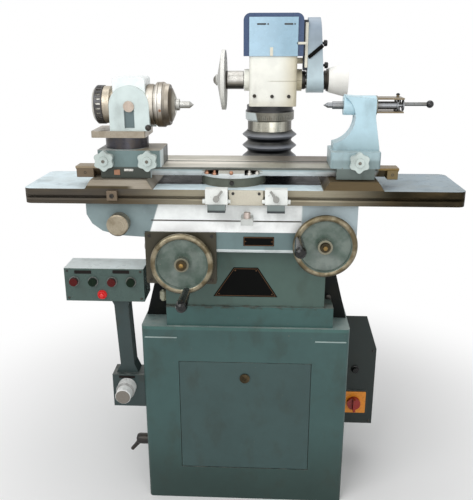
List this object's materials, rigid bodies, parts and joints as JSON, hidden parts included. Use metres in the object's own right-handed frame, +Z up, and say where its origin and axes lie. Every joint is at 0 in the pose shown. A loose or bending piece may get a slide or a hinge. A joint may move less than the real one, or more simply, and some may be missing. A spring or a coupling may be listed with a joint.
{
  "type": "tool and cutter grinder",
  "caption": "Tool and cutter grinder on a cabinet base with a swivelling wheelhead on a lifting column, a cross slide, a traversing swivel table, an indexing workhead and a tailstock.",
  "frame": {"origin": "on the floor, under the middle of the cabinet", "axes": "+X is the operator's right, +Y is away from the operator, +Z is up"},
  "size_m": [1.158, 0.8123, 1.4703],
  "materials": {
    "machine_enamel": "hammered blue-grey machine enamel",
    "dark_enamel": "dark blue-grey enamel",
    "pale_enamel": "pale blue-grey enamel, satin",
    "cream_enamel": "cream enamel, semi-gloss",
    "sky_enamel": "sky-blue enamel, gloss",
    "ground_steel": "ground steel, oiled",
    "bright_steel": "turned steel, bright",
    "dark_steel": "blackened steel",
    "brown_plate": "oil-browned machined iron",
    "lock_brass": "worn brass",
    "abrasive": "vitrified abrasive, matt and granular",
    "black_rubber": "matt black rubber",
    "black_plastic": "black phenolic, glossy",
    "white_plastic": "off-white plastic",
    "red_plastic": "red plastic",
    "green_plastic": "dark green plastic",
    "lamp_red": "lit red lens"
  },
  "bodies": {
    "base": {"base_cabinet": "machine_enamel", "apron": "machine_enamel", "pedestal": "dark_enamel", "electrical_box": "dark_enamel", "pendant_box": "machine_enamel", "pilot_lamp": "lamp_red", "pendant_post": "dark_enamel"},
    "door": {"cabinet_door": "machine_enamel"},
    "door_lock": {"door_lock": "lock_brass"},
    "isolator": {"isolator_knob": "red_plastic"},
    "switch": {"switch_knob": "white_plastic"},
    "button_1": {"push_button_1": "red_plastic"},
    "button_2": {"push_button_2": "green_plastic"},
    "button_3": {"push_button_3": "red_plastic"},
    "button_4": {"push_button_4": "green_plastic"},
    "elevating_wheel": {"elevating_handwheel": "ground_steel"},
    "elevating_screw": {"elevating_screw": "bright_steel"},
    "column": {"column": "bright_steel", "bellows": "black_rubber"},
    "wheelhead": {"graduated_collar": "dark_steel", "wheelhead_housing": "cream_enamel", "spindle_bearings": "bright_steel", "motor_cover": "sky_enamel", "motor": "dark_enamel", "belt_guard": "pale_enamel", "drive_belt": "black_rubber"},
    "spindle": {"grinding_spindle": "bright_steel", "dish_wheel": "abrasive", "cup_wheel": "abrasive", "spindle_pulley": "bright_steel"},
    "motor_shaft": {"motor_pulley": "bright_steel"},
    "cross_slide": {"saddle": "machine_enamel", "table_bed": "pale_enamel", "feed_gearbox": "brown_plate"},
    "cross_wheel": {"cross_handwheel": "ground_steel", "cross_screw": "bright_steel"},
    "cross_grip": {"cross_handle": "black_plastic"},
    "traverse_wheel": {"traverse_handwheel": "ground_steel"},
    "traverse_grip": {"traverse_handle": "black_plastic"},
    "pinion": {"traverse_pinion": "bright_steel"},
    "lock_knob": {"table_lock_knob": "ground_steel"},
    "plunger": {"stop_plunger": "bright_steel"},
    "table": {"lower_table": "ground_steel", "table_rack": "bright_steel"},
    "left_dog": {"left_stop_dog": "pale_enamel"},
    "right_dog": {"right_stop_dog": "pale_enamel"},
    "swivel_table": {"upper_table": "ground_steel"},
    "workhead_foot": {"workhead_base": "pale_enamel"},
    "left_star": {"left_star_knob": "pale_enamel"},
    "right_star": {"right_star_knob": "pale_enamel"},
    "yoke": {"yoke_plate": "ground_steel", "workhead_yoke": "pale_enamel"},
    "workhead": {"workhead_housing": "pale_enamel"},
    "work_nose": {"work_spindle": "bright_steel", "work_centre": "bright_steel"},
    "tailstock": {"tailstock": "pale_enamel"},
    "tail_star": {"tailstock_knob": "pale_enamel"},
    "quill": {"tailstock_quill": "bright_steel"},
    "tail_lever": {"tailstock_lever": "dark_steel"}
  },
  "joints": [
    {"name": "door_hinge", "type": "hinge", "parent": "base", "child": "door", "pos_m": [0, -0.294, 0.124], "axis": [1, 0, 0], "range_deg": [0, 100]},
    {"name": "door_lock_turn", "type": "hinge", "parent": "door", "child": "door_lock", "pos_m": [0, -0.294, 0.435], "axis": [0, -1, 0], "range_deg": [0, 90]},
    {"name": "isolator_turn", "type": "hinge", "parent": "base", "child": "isolator", "pos_m": [0.358, -0.1, 0.242], "axis": [0, -1, 0], "range_deg": [0, 90]},
    {"name": "switch_turn", "type": "hinge", "parent": "base", "child": "switch", "pos_m": [-0.359, -0.29, 0.393], "axis": [0, -1, 0], "range_deg": [-45, 45]},
    {"name": "button_1_press", "type": "slide", "parent": "base", "child": "button_1", "axis": [0, 1, 0], "range_m": [0, 0.004], "stiffness_N_per_m": 400},
    {"name": "button_2_press", "type": "slide", "parent": "base", "child": "button_2", "axis": [0, 1, 0], "range_m": [0, 0.004], "stiffness_N_per_m": 400},
    {"name": "button_3_press", "type": "slide", "parent": "base", "child": "button_3", "axis": [0, 1, 0], "range_m": [0, 0.004], "stiffness_N_per_m": 400},
    {"name": "button_4_press", "type": "slide", "parent": "base", "child": "button_4", "axis": [0, 1, 0], "range_m": [0, 0.004], "stiffness_N_per_m": 400},
    {"name": "column_lift", "type": "slide", "parent": "base", "child": "column", "axis": [0, 0, 1], "range_m": [-0.01, 0.1], "deforming": ["bellows"]},
    {"name": "elevating_wheel_turn", "type": "hinge", "parent": "base", "child": "elevating_wheel", "pos_m": [0, 0, 0.735], "axis": [1, 0, 0], "range_deg": [-450.1, 4500.1]},
    {"name": "elevating_screw_turn", "type": "hinge", "parent": "base", "child": "elevating_screw", "pos_m": [0.064, 0, 0.8], "axis": [0, 0, 1], "range_deg": [-450.1, 4500.1]},
    {"name": "wheelhead_swivel", "type": "hinge", "parent": "column", "child": "wheelhead", "pos_m": [0.064, 0, 1.186], "axis": [0, 0, -1], "range_deg": [-90, 90]},
    {"name": "spindle_spin", "type": "hinge", "parent": "wheelhead", "child": "spindle", "pos_m": [0.064, 0, 1.2823], "axis": [1, 0, 0], "continuous": true},
    {"name": "motor_spin", "type": "hinge", "parent": "wheelhead", "child": "motor_shaft", "pos_m": [0.064, 0, 1.4113], "axis": [1, 0, 0], "continuous": true},
    {"name": "cross_feed", "type": "slide", "parent": "base", "child": "cross_slide", "axis": [0, -1, 0], "range_m": [-0.04, 0.1]},
    {"name": "cross_wheel_turn", "type": "hinge", "parent": "cross_slide", "child": "cross_wheel", "pos_m": [-0.168, -0.37, 0.822], "axis": [0, 1, 0], "range_deg": [-2880.1, 7200.1]},
    {"name": "cross_grip_spin", "type": "hinge", "parent": "cross_wheel", "child": "cross_grip", "pos_m": [-0.15515, -0.43, 0.74912], "axis": [0, 1, 0], "continuous": true},
    {"name": "table_traverse", "type": "slide", "parent": "cross_slide", "child": "table", "axis": [1, 0, 0], "range_m": [-0.2, 0.2]},
    {"name": "pinion_turn", "type": "hinge", "parent": "cross_slide", "child": "pinion", "pos_m": [0.215, -0.25, 0.9404], "axis": [0, -1, 0], "range_deg": [-574.1, 574.1]},
    {"name": "traverse_wheel_turn", "type": "hinge", "parent": "cross_slide", "child": "traverse_wheel", "pos_m": [0.215, -0.37, 0.876], "axis": [0, -1, 0], "range_deg": [-956.1, 956.1]},
    {"name": "traverse_grip_spin", "type": "hinge", "parent": "traverse_wheel", "child": "traverse_grip", "pos_m": [0.14423, -0.43, 0.89764], "axis": [0, 1, 0], "continuous": true},
    {"name": "table_lock_turn", "type": "hinge", "parent": "cross_slide", "child": "lock_knob", "pos_m": [-0.332, -0.37, 0.9343], "axis": [0, -1, 0], "range_deg": [0, 90]},
    {"name": "plunger_lift", "type": "slide", "parent": "cross_slide", "child": "plunger", "axis": [0, 0, 1], "range_m": [0, 0.01]},
    {"name": "left_dog_slide", "type": "slide", "parent": "table", "child": "left_dog", "axis": [1, 0, 0], "range_m": [-0.15, 0]},
    {"name": "right_dog_slide", "type": "slide", "parent": "table", "child": "right_dog", "axis": [1, 0, 0], "range_m": [0, 0.15]},
    {"name": "table_swivel", "type": "hinge", "parent": "table", "child": "swivel_table", "pos_m": [-0.034, -0.25, 1.062], "axis": [0, 0, 1], "range_deg": [-25, 25]},
    {"name": "workhead_slide", "type": "slide", "parent": "swivel_table", "child": "workhead_foot", "axis": [1, 0, 0], "range_m": [-0.04, 0.1]},
    {"name": "left_star_turn", "type": "hinge", "parent": "workhead_foot", "child": "left_star", "pos_m": [-0.366, -0.352, 1.0982], "axis": [0, -1, 0], "range_deg": [0, 180]},
    {"name": "right_star_turn", "type": "hinge", "parent": "workhead_foot", "child": "right_star", "pos_m": [-0.252, -0.352, 1.0982], "axis": [0, -1, 0], "range_deg": [0, 180]},
    {"name": "workhead_swivel", "type": "hinge", "parent": "workhead_foot", "child": "yoke", "pos_m": [-0.318, -0.285, 1.16], "axis": [0, 0, 1], "range_deg": [-90, 90]},
    {"name": "workhead_tilt", "type": "hinge", "parent": "yoke", "child": "workhead", "pos_m": [-0.298, -0.285, 1.2349], "axis": [0, 1, 0], "range_deg": [0, 10]},
    {"name": "work_spin", "type": "hinge", "parent": "workhead", "child": "work_nose", "pos_m": [-0.298, -0.285, 1.2349], "axis": [1, 0, 0], "continuous": true},
    {"name": "tailstock_slide", "type": "slide", "parent": "swivel_table", "child": "tailstock", "axis": [1, 0, 0], "range_m": [-0.1, 0.05]},
    {"name": "tail_star_turn", "type": "hinge", "parent": "tailstock", "child": "tail_star", "pos_m": [0.294, -0.352, 1.0982], "axis": [0, -1, 0], "range_deg": [0, 180]},
    {"name": "quill_slide", "type": "slide", "parent": "tailstock", "child": "quill", "axis": [1, 0, 0], "range_m": [0, 0.0145]},
    {"name": "tail_lever_turn", "type": "hinge", "parent": "tailstock", "child": "tail_lever", "pos_m": [0.4, -0.25, 1.2349], "axis": [0, 0, 1], "range_deg": [0, 36]}
  ],
  "couplings": [
    {"joint": "elevating_wheel_turn", "follows": "column_lift", "rad_per_m": 785.4},
    {"joint": "elevating_screw_turn", "follows": "column_lift", "rad_per_m": 785.4},
    {"joint": "motor_spin", "follows": "spindle_spin", "ratio": 0.76923},
    {"joint": "cross_wheel_turn", "follows": "cross_feed", "rad_per_m": 1256.6},
    {"joint": "pinion_turn", "follows": "table_traverse", "rad_per_m": -50},
    {"joint": "traverse_wheel_turn", "follows": "table_traverse", "rad_per_m": 83.333},
    {"joint": "tail_lever_turn", "follows": "quill_slide", "rad_per_m": 41.667}
  ]
}
